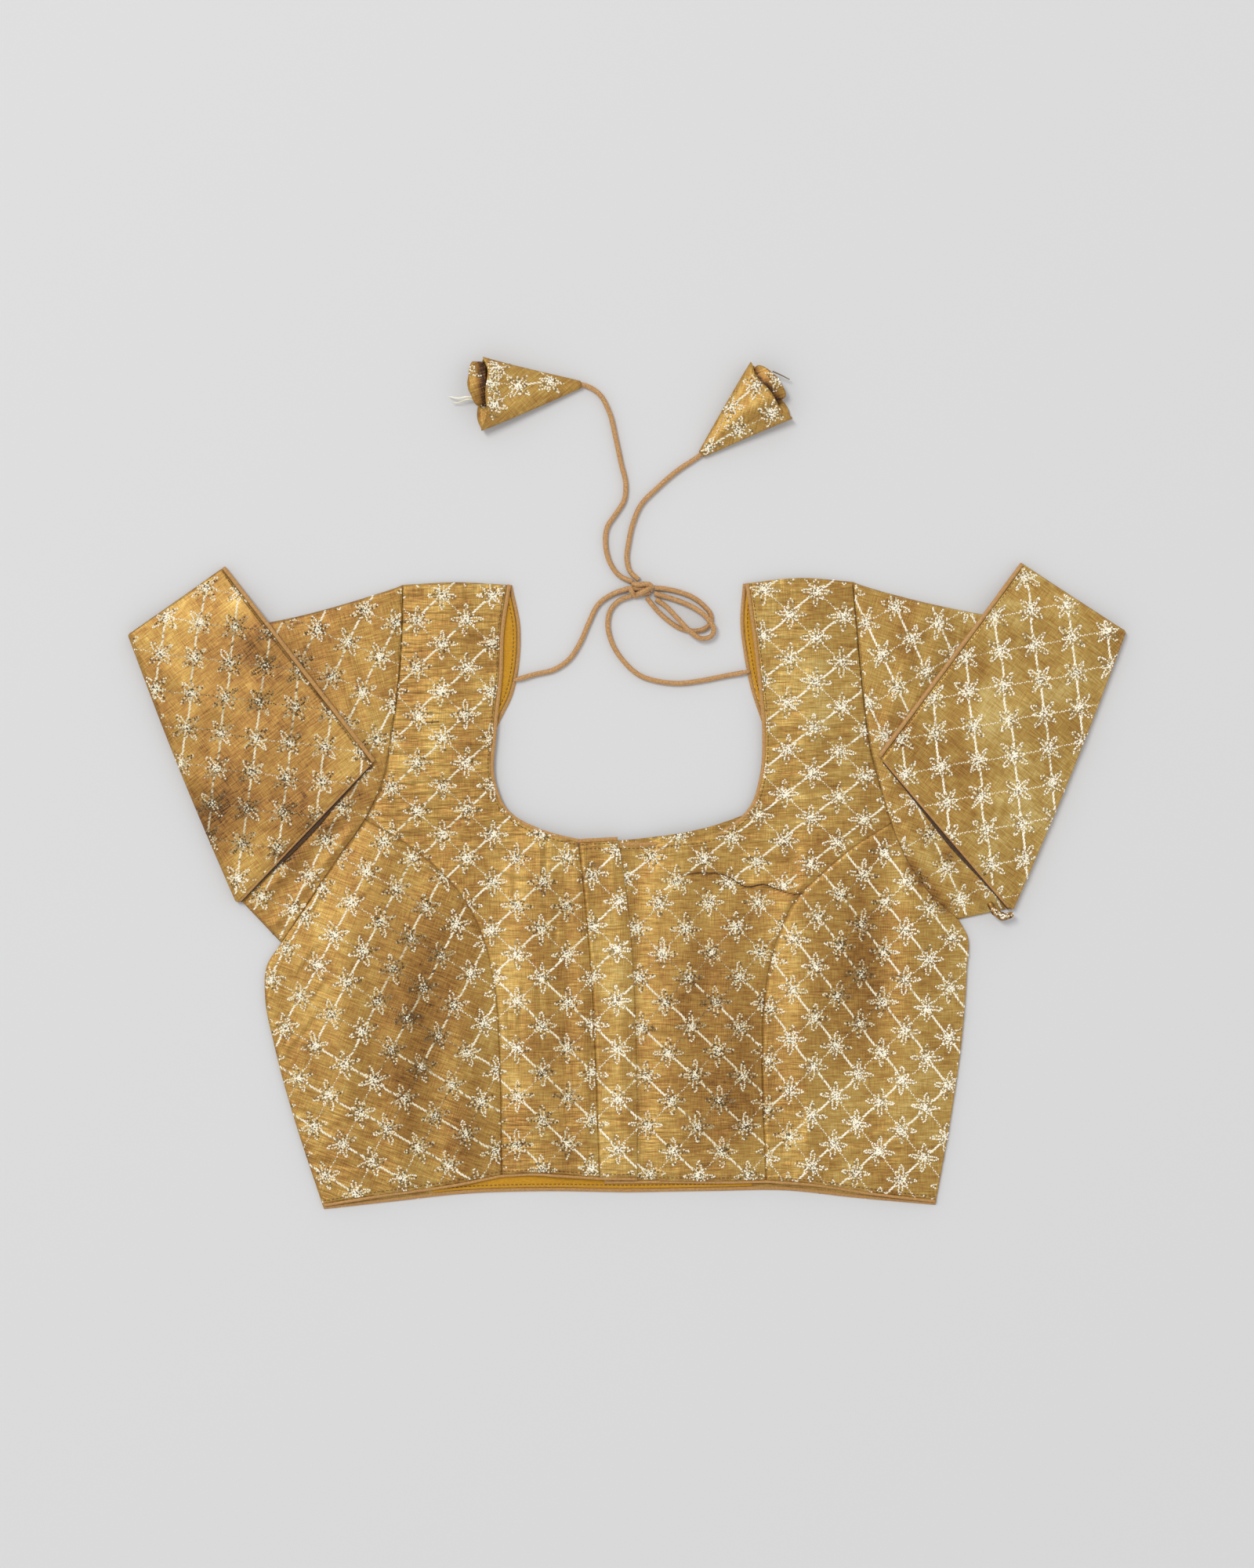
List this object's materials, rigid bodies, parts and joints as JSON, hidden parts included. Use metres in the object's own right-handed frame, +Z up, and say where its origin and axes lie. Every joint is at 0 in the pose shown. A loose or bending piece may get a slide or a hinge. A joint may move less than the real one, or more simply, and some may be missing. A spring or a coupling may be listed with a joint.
{
  "type": "square neck blouse",
  "caption": "Short saree blouse of star-embroidered tissue, laid flat with elbow sleeves folded over and a tasselled tie at the back neck.",
  "frame": {"origin": "centre of the laid-out blouse's base, on the surface it lies on, without its tie cords and tassels", "axes": "+X across the blouse to the wearer's left, +Y towards the shoulders, +Z up from the surface"},
  "size_m": [0.61, 0.5219, 0.013],
  "materials": {
    "tissue": "metallic tissue with a fine slub weave",
    "piping": "soft satin binding",
    "lining": "matt cotton",
    "cord": "satin tube cord"
  },
  "bodies": {
    "root": {"back": "tissue", "front_centre_right": "tissue", "front_centre_left": "tissue", "front_side_right": "tissue", "front_side_left": "tissue", "placket": "tissue", "sleeve_right": "tissue", "sleeve_left": "tissue", "neck_piping_right": "piping", "neck_piping_left": "piping", "back_neck_piping": "piping", "hem_piping_right": "piping", "hem_piping_left": "piping", "back_hem_piping": "piping", "cuff_piping_right": "piping", "cuff_piping_left": "piping", "lining_neck_right": "lining", "lining_neck_left": "lining", "lining_hem": "lining", "tie_right": "cord", "tie_left": "cord", "loop_upper": "cord", "loop_lower": "cord", "end_right": "cord", "end_left": "cord", "knot": "cord", "tassel_right": "tissue", "tassel_left": "tissue"}
  },
  "joints": []
}
